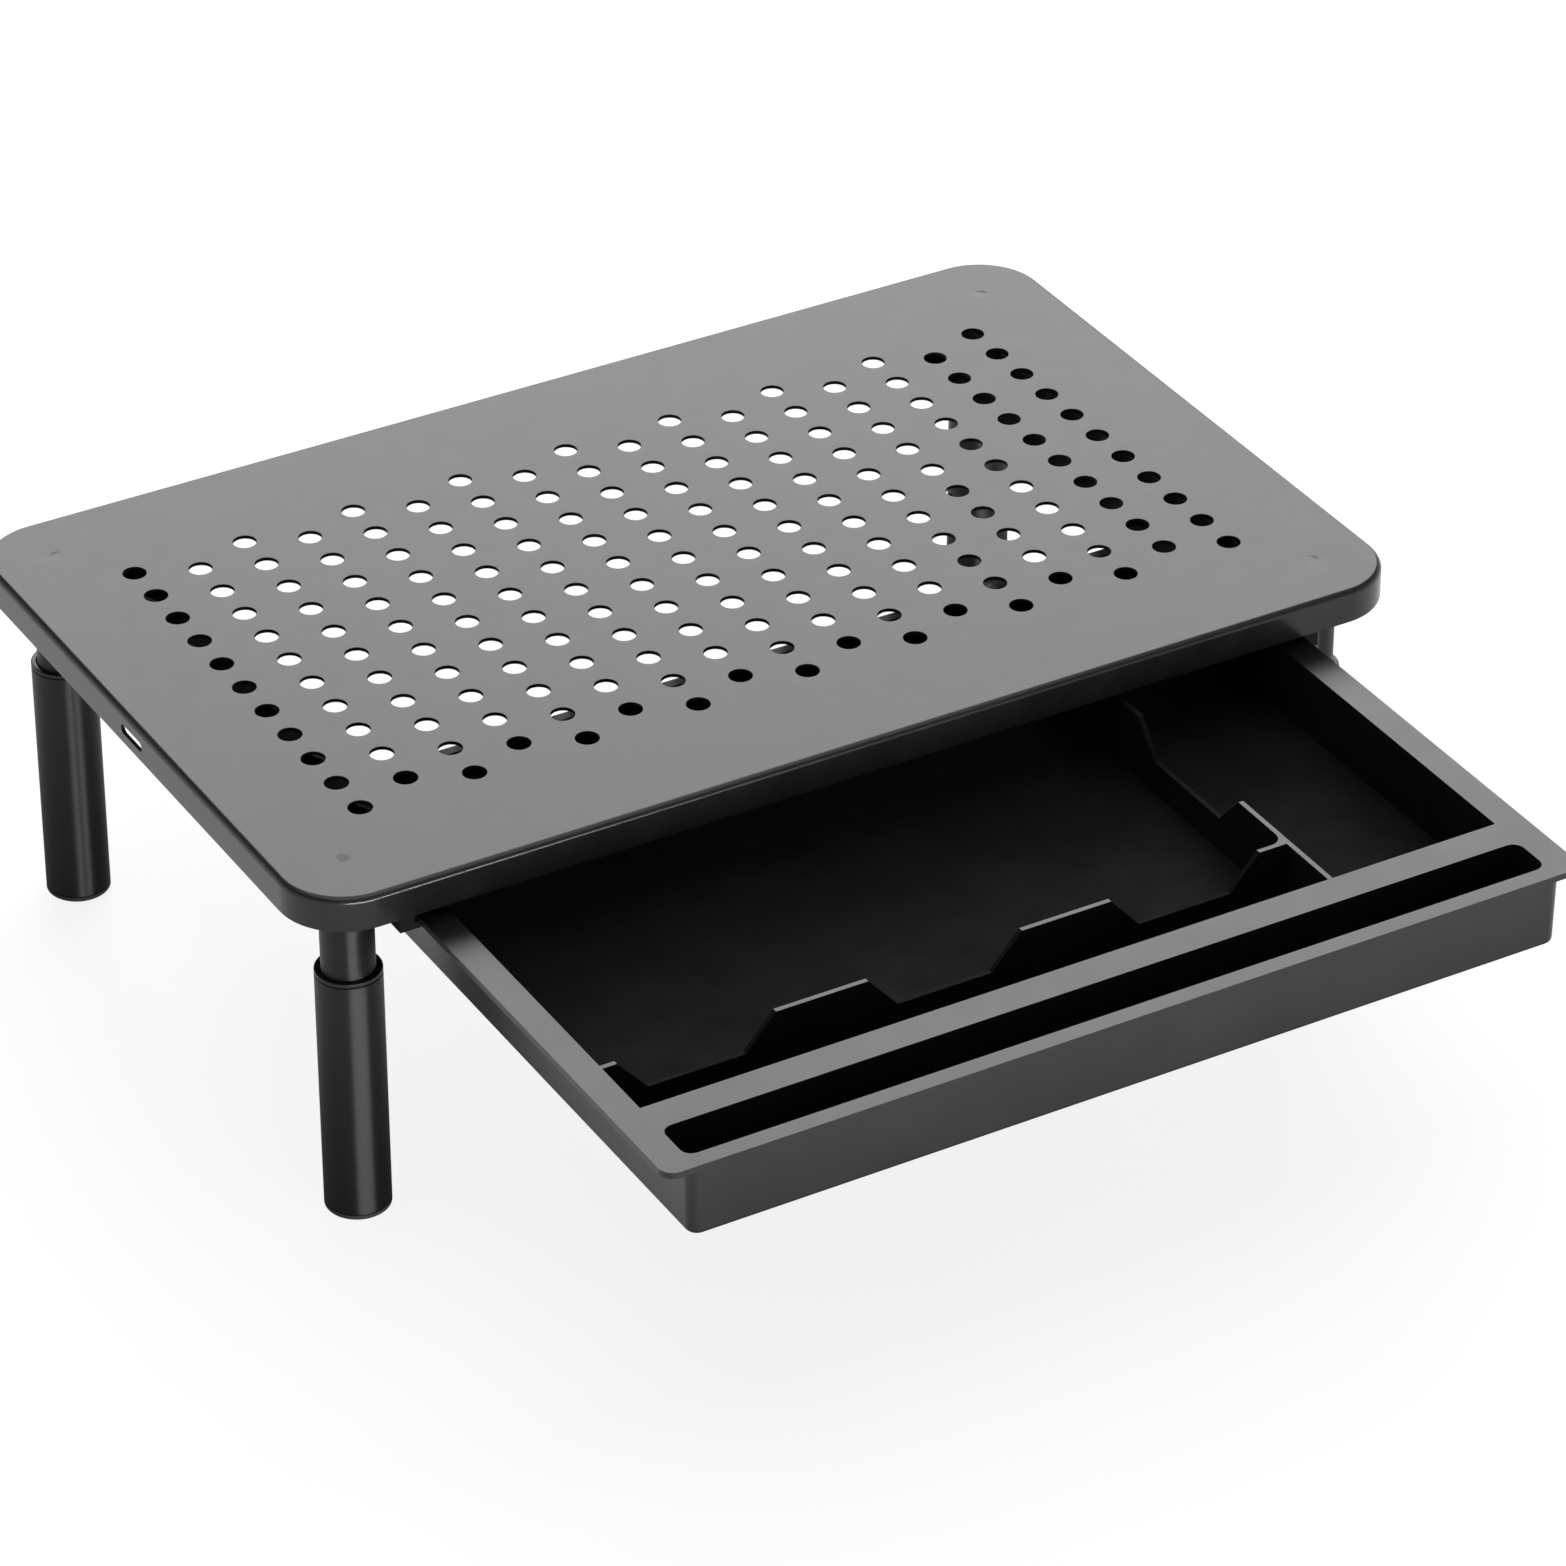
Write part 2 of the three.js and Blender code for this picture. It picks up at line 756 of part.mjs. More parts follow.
// Guide bush: a sleeve in the mouth of the lower tube, with a rounded flange that caps it.
function makeGuideBush(name) {
  const outer = lowerTubeInner - bushGap;
  const inner = upperTubeRadius + bushGap;
  const bottom = bushFlangeBottom - bushSleeveLength;
  const profile = [[inner, bottom], [outer, bottom], [outer, bushFlangeBottom], [lowerTubeRadius, bushFlangeBottom]];
  for (let step = 0; step <= edgeSteps; step += 1) {
    const angle = (quarterTurn * step) / edgeSteps;
    profile.push([
      lowerTubeRadius - bushFlangeEdgeRadius * (1 - Math.cos(angle)),
      -bushTopDrop - bushFlangeEdgeRadius * (1 - Math.sin(angle)),
    ]);
  }
  profile.push([inner, -bushTopDrop], [inner, bottom]);
  return piece(name, turned(profile, tubeSides), 'plastic');
}

// Foot cap: a round pad under the tube with a hollow plug inside it.
function makeFootCap(name) {
  const ground = -riserHeight;
  const padTop = ground + footPadThickness;
  const plugTop = padTop + footPlugHeight;
  const plug = lowerTubeInner - fitGap;
  const profile = [[0, ground]];
  for (let step = 0; step <= edgeSteps; step += 1) {
    const angle = (quarterTurn * step) / edgeSteps;
    profile.push([
      lowerTubeRadius - footPadEdgeRadius * (1 - Math.sin(angle)),
      ground + footPadEdgeRadius * (1 - Math.cos(angle)),
    ]);
  }
  profile.push(
    [lowerTubeRadius, padTop],
    [plug, padTop],
    [plug, plugTop],
    [plug - footPlugWall, plugTop],
    [plug - footPlugWall, padTop],
    [0, padTop],
  );
  return piece(name, turned(profile, tubeSides), 'rubber');
}

// Room that a flat piece of a given half width has inside the upper tube.
function roomInTube(halfWidth) {
  return Math.sqrt((upperTubeInner * facetShrink) ** 2 - halfWidth ** 2) - fitGap;
}

const buttonShoulderFace = roomInTube(buttonShoulderRadius) - buttonTravel;
const buttonBack = buttonShoulderFace - buttonShoulderThickness;

// Snap button, drawn pressed in, with its domed tip just inside the lower tube.
function makeSnapButton(name) {
  const tip = lowerTubeInner - fitGap;
  const profile = [
    [0, buttonBack],
    [buttonShoulderRadius, buttonBack],
    [buttonShoulderRadius, buttonShoulderFace],
    [buttonRadius, buttonShoulderFace],
  ];
  for (let step = 0; step <= edgeSteps; step += 1) {
    const angle = (quarterTurn * step) / edgeSteps;
    profile.push([
      buttonRadius * Math.cos(angle),
      tip - buttonDomeHeight * (1 - Math.sin(angle)),
    ]);
  }
  const button = piece(name, turned(profile, smallSides), 'zinc');
  button.rotation.y = quarterTurn;
  button.position.z = buttonLevel;
  return button;
}

// Hairpin leaf spring between the tube's far wall and the button's back.
function makeButtonSpring(name) {
  const front = buttonBack - fitGap;
  const back = -roomInTube(springWidth / 2);
  const centre = (front + back) / 2;
  const bendRadius = (front - back) / 2;
  const foot = buttonLevel - springBelowButton;
  const bend = buttonLevel + springAboveButton;
  const outline = [
    new THREE.Vector2(front, foot),
    ...arcPoints(centre, bend, bendRadius, 0, halfTurn, smallSides),
    new THREE.Vector2(back, foot),
    new THREE.Vector2(back + springThickness, foot),
    ...arcPoints(centre, bend, bendRadius - springThickness, halfTurn, 0, smallSides),
    new THREE.Vector2(front - springThickness, foot),
  ];
  return piece(name, prismAlongY(outline, -springWidth / 2, springWidth / 2), 'spring');
}

function makeLeg({ name, x, y, turn }) {
  const leg = new THREE.Group();
  leg.add(
    makeLegInsert(`leg_insert_${name}`),
    makeUpperTube(`upper_tube_${name}`),
    makeButtonSpring(`button_spring_${name}`),
    makeSnapButton(`snap_button_${name}`),
    makeGuideBush(`guide_bush_${name}`),
    makeLowerTube(`lower_tube_${name}`),
    makeFootCap(`foot_cap_${name}`),
  );
  leg.position.set(x, y, 0);
  leg.rotation.z = turn;
  return leg;
}

function makeRiser() {
  const riser = new THREE.Group();
  riser.add(makeTopPlate(), makeDrawer());
  for (const { name, side } of railSides) {
    riser.add(makeRail(name, side));
    for (const stud of railStudPlaces) {
      riser.add(makeRailNut(`rail_nut_${name}_${stud.name}`, side * railStudX, stud.y));
    }
  }
  riser.add(...legPlaces.map(makeLeg));
  riser.position.set(0, drawerOpen / 2, riserHeight);
  return riser;
}

export default makeRiser();
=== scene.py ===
import math

import bmesh
import bpy
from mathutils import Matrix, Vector


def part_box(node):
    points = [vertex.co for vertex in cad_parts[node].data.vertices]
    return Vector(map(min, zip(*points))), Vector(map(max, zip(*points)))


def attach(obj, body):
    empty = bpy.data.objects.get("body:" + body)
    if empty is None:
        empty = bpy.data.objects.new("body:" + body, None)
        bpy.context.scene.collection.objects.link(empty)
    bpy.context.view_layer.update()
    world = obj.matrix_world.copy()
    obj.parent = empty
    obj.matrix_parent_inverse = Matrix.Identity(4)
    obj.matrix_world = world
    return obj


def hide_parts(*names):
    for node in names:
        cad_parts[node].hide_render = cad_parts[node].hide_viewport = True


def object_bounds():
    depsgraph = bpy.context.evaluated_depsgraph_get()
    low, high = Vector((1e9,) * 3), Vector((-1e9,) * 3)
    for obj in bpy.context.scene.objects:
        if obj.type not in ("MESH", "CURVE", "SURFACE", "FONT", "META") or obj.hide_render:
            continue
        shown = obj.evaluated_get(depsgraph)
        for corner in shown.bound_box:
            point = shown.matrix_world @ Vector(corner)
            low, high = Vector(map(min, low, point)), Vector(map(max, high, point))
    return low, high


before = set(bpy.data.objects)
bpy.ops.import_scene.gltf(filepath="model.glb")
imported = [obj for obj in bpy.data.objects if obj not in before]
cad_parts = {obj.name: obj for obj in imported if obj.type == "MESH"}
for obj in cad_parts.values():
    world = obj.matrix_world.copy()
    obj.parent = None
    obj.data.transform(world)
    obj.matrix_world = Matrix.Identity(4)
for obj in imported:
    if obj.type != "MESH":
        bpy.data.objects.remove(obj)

MM = 0.001
CAD_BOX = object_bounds()
CENTRE = (CAD_BOX[0] + CAD_BOX[1]) / 2

# Sizes that the frame's boxes don't give, in metres
FIT_GAP = 0.3 * MM
SHEET = 1.2 * MM
SKIRT_HEIGHT = 11 * MM
PLATE_CORNER = 21 * MM
PLATE_EDGE = 2 * MM
VENT_RADIUS = 3.65 * MM
VENT_EDGE = 0.18 * MM
VENT_MARGIN_X = 37 * MM
VENT_MARGIN_Y = 42.75 * MM
VENT_COLUMNS = 9
VENT_ROWS = 11
SLOT_LENGTH = 14 * MM
SLOT_HEIGHT = 3.2 * MM
SLOT_DROP = 6 * MM
WELD_MARK_RADIUS = 2.5 * MM
WELD_MARK_DEPTH = 0.3 * MM
WELD_MARK_RIM = 0.8 * MM
WELD_COLLAR_RADIUS = 7.6 * MM
WELD_COLLAR_THICKNESS = 1 * MM
WELD_COLLAR_CHAMFER = 0.4 * MM
LEG_STUD_RADIUS = 4 * MM
LEG_STUD_LENGTH = 12 * MM
LEG_STUD_PITCH = 1.25 * MM
RAIL_STUD_RADIUS = 2 * MM
RAIL_STUD_LENGTH = 9 * MM
RAIL_STUD_PITCH = 0.7 * MM
UPPER_WALL = 1 * MM
LOWER_WALL = 0.8 * MM
BUSH_FLANGE = 1.3 * MM
BUSH_FLANGE_EDGE = 0.45 * MM
BUSH_GAP = 0.25 * MM
HEIGHT_STEP = 20 * MM
HOLE_OVERRUN = 1.2 * MM
BUTTON_RADIUS = 2.6 * MM
BUTTON_DOME = 1 * MM
BUTTON_SHOULDER_THICKNESS = 1 * MM
PAD_THICKNESS = 1.6 * MM
PAD_EDGE = 0.9 * MM
PLUG_WALL = 1.6 * MM
PLUG_RIBS = 3
INSERT_FLANGE = 1.5 * MM
NUT_FLANGE = 1 * MM
NUT_FLANGE_RIM = 0.6 * MM
NUT_CORNER_RADIUS = 4.04 * MM
NUT_CHAMFER = 0.42 * MM
TRAY_FLANGE = 7.5 * MM
TRAY_WALL = 1.8 * MM
TRAY_FLOOR = 1.9 * MM
TRAY_FRONT_RIM = 4.65 * MM
TRAY_REAR_LEDGE = 1.6 * MM
POCKET_LIP = 0.5 * MM
SOFT_EDGE = 0.3 * MM
FINE_EDGE = 0.15 * MM
SPRING_EDGE = 0.075 * MM

# Shares of a broken edge's width, of a weld mark's rim and depth, and of the pitch of a plug's ribs
EDGE_MIDDLE = 0.3
WELD_MARK_STEPS = ((0, 0), (0.7, 0.85), (1, 1))
PLUG_RIB_STEPS = (0.25, 0.5, 0.7)

# Fineness of the round forms
TUBE_SIDES = 72
VENT_SIDES = 32
SMALL_SIDES = 40
NUT_SIDES = 48
CORNER_STEPS = 14
ROLL_STEPS = 8
BEVEL_SEGMENTS = 3

# Limits for cleaning and shading meshes: a distance, angles in degrees, and the pull of large faces
MERGE_DISTANCE = 0.002 * MM
FACET_ANGLE = 0.4
BEVEL_ANGLE = 28
SHARP_ANGLE = 35
THREAD_SHARP_ANGLE = 30
TUBE_SHARP_ANGLE = 40
NEVER_SHARP = 180
LARGE_FACE_PULL = 100

# A face whose normal has less Z than this is the wall of a hole
WALL_NORMAL = 0.5

# The part of a noise's range that its ramps spread out
NOISE_LOW = 0.3
NOISE_HIGH = 0.7

# The floor: its size, its tone under the lamps, and its own light at the riser, where 1 is white
FLOOR_RADIUS = 12.0
FLOOR_SIDES = 96
FLOOR_TONE = 0.22
FLOOR_GLOW = 0.84

# Its own light rises to white between these distances from the riser, in metres
GLOW_NEAR = 0.2
GLOW_FAR = 1.2

# A piece sees that light come in between these distances of its own from the floor, in metres
SHADE_NEAR = 0.06
SHADE_FAR = 0.2

# The world: its grey fill, and how its mirrored white dims from the horizon to the ceiling. The heights
# are the Z of a direction.
FILL_LEVEL = 0.25
HORIZON_HEIGHT = 0.1
CEILING_HEIGHT = 0.45
CEILING_LEVEL = 0.3

# Area lamps: azimuth and elevation in degrees, distance, width and height in metres, radiance
LAMPS = {
    "top_light": (0, 88, 1.6, 1.8, 1.8, 1.3),
    "rear_light": (30, 34, 2.2, 1.8, 1.35, 3.8),
    "front_strip": (187, 0, 1.1, 1.0, 0.1, 48.0),
}

# The photograph's camera, found by matching the plate, the legs and the drawer: lens and sensor in
# millimetres, clips and place in metres, turn in degrees
LENS = 159.08
SENSOR = 36.0
CLIP_NEAR = 0.05
CLIP_FAR = 50.0
CAMERA_PLACE = (-0.87041, -1.50509, 1.19818)
CAMERA_TURN = (57.2069, 0.0814, -29.9269)

LEGS = ("front_left", "front_right", "rear_left", "rear_right")
SIDES = ("left", "right")
STUDS = ("front", "middle", "rear")


# Node materials

class Finish:
    """A node material with its shader, and short calls for the nodes that feed it."""

    def __init__(self, name, **constants):
        self.material = bpy.data.materials.new(name)
        self.material.use_nodes = True
        self.nodes = self.material.node_tree.nodes
        self.shader = self.nodes["Principled BSDF"]
        self.place = self.nodes.new("ShaderNodeTexCoord").outputs["Object"]
        for socket, value in constants.items():
            self.shader.inputs[socket.replace("_", " ")].default_value = value

    def link(self, source, target):
        self.material.node_tree.links.new(source, target)

    def stretched(self, x, y, z):
        mapping = self.nodes.new("ShaderNodeMapping")
        mapping.inputs["Scale"].default_value = (x, y, z)
        self.link(self.place, mapping.inputs["Vector"])
        return mapping.outputs["Vector"]

    def noise(self, size, detail=3.0, roughness=0.55, place=None):
        node = self.nodes.new("ShaderNodeTexNoise")
        node.inputs["Scale"].default_value = 1.0 / size
        node.inputs["Detail"].default_value = detail
        node.inputs["Roughness"].default_value = roughness
        self.link(place or self.place, node.inputs["Vector"])
        return node.outputs["Fac"]

    def ramp(self, factor, low, high):
        """Spreads the middle of a noise over a span."""
        node = self.nodes.new("ShaderNodeMapRange")
        node.inputs["From Min"].default_value = NOISE_LOW
        node.inputs["From Max"].default_value = NOISE_HIGH
        node.inputs["To Min"].default_value = low
        node.inputs["To Max"].default_value = high
        self.link(factor, node.inputs["Value"])
        return node.outputs["Result"]

    def colours(self, factor, *stops):
        """Colours the surface by a factor, from two stops of position and colour."""
        node = self.nodes.new("ShaderNodeValToRGB")
        for element, (position, colour) in zip(node.color_ramp.elements, stops):
            element.position = position
            element.color = (*colour, 1.0)
        self.link(factor, node.inputs["Fac"])
        self.link(node.outputs["Color"], self.shader.inputs["Base Color"])

    def roughness(self, value):
        self.link(value, self.shader.inputs["Roughness"])

    def bump(self, height, depth, under=None):
        """Bumps the surface, on top of another bump if one is given."""
        node = self.nodes.new("ShaderNodeBump")
        node.inputs["Distance"].default_value = depth
        node.inputs["Strength"].default_value = 1.0
        self.link(height, node.inputs["Height"])
        if under is not None:
            self.link(under, node.inputs["Normal"])
        self.link(node.outputs["Normal"], self.shader.inputs["Normal"])
        return node.outputs["Normal"]


def grey(value, tint=0.0):
    return (value * (1 - tint), value, value * (1 + tint))


def powder_coat(name, gloss, roughness):
    """Near-black powder coat with a very fine orange peel."""
    finish = Finish(name, IOR=1.45, Specular_IOR_Level=gloss)
    finish.colours(finish.noise(18 * MM, 4), (0.35, grey(0.007)), (0.65, grey(0.01, 0.01)))
    finish.roughness(finish.ramp(finish.noise(9 * MM, 5), *roughness))
    peel = finish.bump(finish.noise(0.9 * MM, 2), 0.004 * MM)
    finish.bump(finish.noise(3.2 * MM, 2), 0.01 * MM, peel)
    return finish.material


def tube_lacquer():
    """Black lacquer over ground tube: fine rings round the tube draw its highlights out along it."""
    finish = Finish(
        "tube_lacquer", IOR=1.45, Specular_IOR_Level=0.6, Anisotropic=0.95, Anisotropic_Rotation=0.25
    )
    tangent = finish.nodes.new("ShaderNodeTangent")
    tangent.direction_type = "RADIAL"
    tangent.axis = "Z"
    finish.link(tangent.outputs["Tangent"], finish.shader.inputs["Tangent"])
    finish.colours(finish.noise(12 * MM, 3), (0.3, grey(0.0015)), (0.7, grey(0.0025)))
    ground = finish.noise(1.0, 3, place=finish.stretched(60, 60, 2600))
    finish.roughness(finish.ramp(ground, 0.42, 0.48))
    finish.bump(finish.noise(6 * MM, 2), 0.012 * MM)
    return finish.material


def moulded_black(name, gloss, roughness):
    """Black moulded plastic with a fine spark-eroded grain."""
    finish = Finish(name, IOR=1.5, Specular_IOR_Level=gloss)
    finish.colours(finish.noise(25 * MM, 3), (0.3, grey(0.005)), (0.7, grey(0.008, 0.02)))
    finish.roughness(finish.ramp(finish.noise(14 * MM, 4), *roughness))
    fine = finish.bump(finish.noise(0.4 * MM, 4, 0.7), 0.015 * MM)
    finish.bump(finish.noise(40 * MM, 2), 0.05 * MM, fine)
    return finish.material


def foot_rubber():
    """Matt black rubber with a fine grain."""
    finish = Finish("foot_rubber", IOR=1.5)
    finish.colours(finish.noise(3 * MM, 4), (0.3, grey(0.012)), (0.7, grey(0.02)))
    finish.roughness(finish.ramp(finish.noise(2 * MM, 4), 0.62, 0.8))
    finish.bump(finish.noise(0.5 * MM, 4, 0.7), 0.03 * MM)
    return finish.material


def zinc_plate():
    """Bright zinc with the faint crystal patches of its plating."""
    finish = Finish("zinc_plate", Metallic=1.0)
    finish.colours(finish.noise(1.5 * MM, 5), (0.35, (0.5, 0.51, 0.53)), (0.65, (0.66, 0.67, 0.68)))
    finish.roughness(finish.ramp(finish.noise(0.8 * MM, 4), 0.24, 0.4))
    finish.bump(finish.noise(0.4 * MM, 3), 0.01 * MM)
    return finish.material


def spring_steel():
    """Bare rolled steel with fine lines along the strip."""
    finish = Finish("spring_steel", Metallic=1.0)
    finish.colours(finish.noise(4 * MM, 4), (0.3, (0.36, 0.36, 0.37)), (0.7, (0.48, 0.47, 0.46)))
    rolled = finish.noise(1.0, 3, place=finish.stretched(2500, 2500, 80))
    finish.roughness(finish.ramp(rolled, 0.22, 0.36))
    finish.bump(rolled, 0.004 * MM)
    return finish.material


# Mesh building

def coat(mesh, material, inside=None):
    """Gives a mesh its material, and another one to the faces that a test picks out."""
    mesh.materials.clear()
    mesh.materials.append(material)
    if inside:
        other, chosen = inside
        mesh.materials.append(other)
        for face in mesh.polygons:
            face.material_index = int(chosen(face.center, face.normal))


def make_object(name, mesh, material, body, node, sharp=SHARP_ANGLE, inside=None, edge=None):
    """Finishes a mesh as a piece that rides on a body and stands for its CAD node."""
    piece = bpy.data.objects.new(name, mesh)
    bpy.context.collection.objects.link(piece)
    coat(mesh, material, inside)
    if edge:
        round_edges(piece, edge)
    smooth(piece, sharp)
    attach(piece, body)
    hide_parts(node)


def round_edges(piece, width):
    bevel = piece.modifiers.new("edges", "BEVEL")
    bevel.width = width
    bevel.segments = BEVEL_SEGMENTS
    bevel.limit_method = "ANGLE"
    bevel.angle_limit = math.radians(BEVEL_ANGLE)
    bevel.use_clamp_overlap = True
    bevel.miter_outer = "MITER_ARC"
    bevel.harden_normals = False


def smooth(piece, sharp):
    """Smooth shading with sharp edges past an angle, weighted so that flat faces stay flat."""
    piece.data.polygons.foreach_set("use_smooth", [True] * len(piece.data.polygons))
    piece.data.set_sharp_from_angle(angle=math.radians(sharp))
    weigh = piece.modifiers.new("weighted_normals", "WEIGHTED_NORMAL")
    weigh.keep_sharp = True
    weigh.weight = LARGE_FACE_PULL


def mesh_from(bm, name):
    """Turns a bmesh into a mesh whose faces look outward."""
    bmesh.ops.recalc_face_normals(bm, faces=bm.faces)
    if bm.calc_volume(signed=True) < 0:
        bmesh.ops.reverse_faces(bm, faces=bm.faces)
    mesh = bpy.data.meshes.new(name)
    bm.to_mesh(mesh)
    bm.free()
    return mesh


def circle(x, y, radius, z, sides):
    angles = [2 * math.pi * step / sides for step in range(sides)]
    return [Vector((x + radius * math.cos(a), y + radius * math.sin(a), z)) for a in angles]


def rounded_rectangle(centre, width, depth, radius, z):
    """Points of a rectangle with round corners, the same number for every radius."""
    points = []
    for quarter, (sx, sy) in enumerate(((1, 1), (-1, 1), (-1, -1), (1, -1))):
        corner = Vector((centre[0] + sx * (width / 2 - radius), centre[1] + sy * (depth / 2 - radius), z))
        for step in range(CORNER_STEPS + 1):
            angle = (quarter + step / CORNER_STEPS) * math.pi / 2
            points.append(corner + Vector((radius * math.cos(angle), radius * math.sin(angle), 0)))
    return points


def node_centre(node):
    low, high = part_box(node)
    return (low.x + high.x) / 2, (low.y + high.y) / 2


def add_ring(bm, points):
    return [bm.verts.new(point) for point in points]


def bridge(bm, first, second):
    """Quads between two rings with the same number of points."""
    count = len(first)
    for at in range(count):
        after = (at + 1) % count
        bm.faces.new((first[at], first[after], second[after], second[at]))


def bridge_all(bm, rings):
    for first, second in zip(rings, rings[1:]):
        bridge(bm, first, second)


def prism(name, outline, start, end):
    """Closed prism along X from an outline of Y and Z."""
    bm = bmesh.new()
    ends = [add_ring(bm, [Vector((x, y, z)) for y, z in outline]) for x in (start, end)]
    bridge(bm, *ends)
    for ring in ends:
        bm.faces.new(ring)
    return mesh_from(bm, name)


def ring_edges(bm, ring):
    edges = []
    for at, vertex in enumerate(ring):
        pair = (vertex, ring[(at + 1) % len(ring)])
        edges.append(bm.edges.get(pair) or bm.edges.new(pair))
    return edges


def fill_between(bm, rings):
    """Flat face inside the first ring and around the others."""
    edges = [edge for ring in rings for edge in ring_edges(bm, ring)]
    bmesh.ops.triangle_fill(bm, use_beauty=True, use_dissolve=False, edges=edges)


def turned(name, profile, centre, sides=TUBE_SIDES):
    """Body of revolution about Z from points of radius and height. A radius of zero makes a pole."""
    bm = bmesh.new()
    rings = []
    for radius, height in profile:
        if radius == 0:
            rings.append([bm.verts.new((0, 0, height))])
        else:
            rings.append(add_ring(bm, circle(0, 0, radius, height, sides)))
    for first, second in zip(rings, rings[1:]):
        if len(first) == len(second):
            bridge(bm, first, second)
        else:
            pole, ring = (first[0], second) if len(first) == 1 else (second[0], first)
            for at in range(len(ring)):
                bm.faces.new((pole, ring[at], ring[(at + 1) % len(ring)]))
    if len(rings[0]) > 1:
        bridge(bm, rings[-1], rings[0])
    bmesh.ops.translate(bm, verts=bm.verts, vec=(*centre, 0))
    return mesh_from(bm, name)


def arc(radius, height, x_radius, z_radius, start):
    """Points of radius and height along a quarter of an ellipse, from an angle in degrees."""
    points = []
    for step in range(ROLL_STEPS + 1):
        angle = math.radians(start + 90 * step / ROLL_STEPS)
        points.append((radius + x_radius * math.cos(angle), height + z_radius * math.sin(angle)))
    return points


def cut_away(mesh, cutters):
    """Subtracts closed meshes from a mesh, with the result kept in a new mesh."""
    piece = bpy.data.objects.new("cut", mesh)
    bpy.context.collection.objects.link(piece)
    tools = []
    for cutter in cutters:
        tool = bpy.data.objects.new("cutter", cutter)
        bpy.context.collection.objects.link(tool)
        tools.append(tool)
        boolean = piece.modifiers.new("cut", "BOOLEAN")
        boolean.operation = "DIFFERENCE"
        boolean.solver = "EXACT"
        boolean.object = tool
    bpy.context.view_layer.update()
    evaluated = piece.evaluated_get(bpy.context.evaluated_depsgraph_get())
    result = bpy.data.meshes.new_from_object(evaluated)
    for spare in (piece, *tools):
        bpy.data.objects.remove(spare)
    return result


def softened(node, material, body, edge, inside=None):
    """Copy of a CAD node with its flat facets joined and its edges rounded over."""
    bm = bmesh.new()
    bm.from_mesh(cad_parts[node].data)
    bm.transform(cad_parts[node].matrix_world)
    bmesh.ops.remove_doubles(bm, verts=bm.verts, dist=MERGE_DISTANCE)
    facets = math.radians(FACET_ANGLE)
    bmesh.ops.dissolve_limit(bm, angle_limit=facets, verts=bm.verts, edges=bm.edges)
    mesh = mesh_from(bm, node + "_shape")
    make_object(node + "_finished", mesh, material, body, node, NEVER_SHARP, inside, edge)


def pocket_test():
    """Test that picks out the faces inside the tray's compartments."""
    low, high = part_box("drawer_tray")
    rim = high.z - POCKET_LIP
    inner_x = (high.x - low.x) / 2 - TRAY_FLANGE - TRAY_WALL / 2
    front, rear = low.y + TRAY_FRONT_RIM, high.y - TRAY_REAR_LEDGE
    under = low.z + TRAY_FLOOR / 2

    def in_pocket(place, normal):
        return abs(place.x) < inner_x and front < place.y < rear and under < place.z < rim

    return in_pocket


# Top plate

def plate_sheet(material, in_holes):
    """The pressed sheet: round vents, a rolled edge and a skirt with its cable slots."""
    low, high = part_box("top_plate")
    centre = node_centre("top_plate")
    width, depth, top = high.x - low.x, high.y - low.y, high.z
    bm = bmesh.new()
    rings = []
    for inset, z in plate_profile(top):
        size = (width - 2 * inset, depth - 2 * inset, PLATE_CORNER - inset)
        rings.append(add_ring(bm, rounded_rectangle(centre, *size, z)))
    bridge_all(bm, rings)
    upper, lower = [rings[0]], [rings[-1]]
    for x, y in vent_centres(centre, width, depth):
        above, below = vent(bm, x, y, top)
        upper.append(above)
        lower.append(below)
    for leg in LEGS:
        upper.append(weld_mark(bm, Vector((*leg_centre(leg), top)), Vector((*centre, top))))
    fill_between(bm, upper)
    fill_between(bm, lower)
    mesh = cut_away(mesh_from(bm, "plate_sheet"), [slot_cutter(low, high)])
    reach_x, reach_y = width / 2 - PLATE_CORNER, depth / 2 - PLATE_CORNER

    def in_vent(place, normal):
        inner = abs(place.x - centre[0]) < reach_x and abs(place.y - centre[1]) < reach_y
        return inner and abs(normal.z) < WALL_NORMAL

    inside = (in_holes, in_vent)
    make_object("plate_sheet", mesh, material, "riser", "top_plate", inside=inside)


def plate_profile(top):
    """Insets and heights of the sheet's rim, from the top over the skirt's edge to its underside."""
    bottom = top - SKIRT_HEIGHT
    lip, middle = SOFT_EDGE, SOFT_EDGE * EDGE_MIDDLE
    turns = [math.pi / 2 * step / ROLL_STEPS for step in range(ROLL_STEPS + 1)]

    def roll(radius, z):
        return [(PLATE_EDGE - radius * math.sin(a), z - radius * (1 - math.cos(a))) for a in turns]

    profile = roll(PLATE_EDGE, top)
    profile += [(0, bottom + lip), (middle, bottom + middle), (lip, bottom)]
    profile += [(SHEET - lip, bottom), (SHEET - middle, bottom + middle), (SHEET, bottom + lip)]
    return profile + roll(PLATE_EDGE - SHEET, top - SHEET)[::-1]


def vent(bm, x, y, top):
    """Wall of a round hole with both edges broken. Returns its upper and its lower ring."""
    edge, middle = VENT_EDGE, VENT_EDGE * EDGE_MIDDLE
    steps = (
        (edge, 0), (middle, -middle), (0, -edge),
        (0, edge - SHEET), (middle, middle - SHEET), (edge, -SHEET),
    )
    rings = []
    for wider, drop in steps:
        rings.append(add_ring(bm, circle(x, y, VENT_RADIUS + wider, top + drop, VENT_SIDES)))
    bridge_all(bm, rings)
    return rings[0], rings[-1]


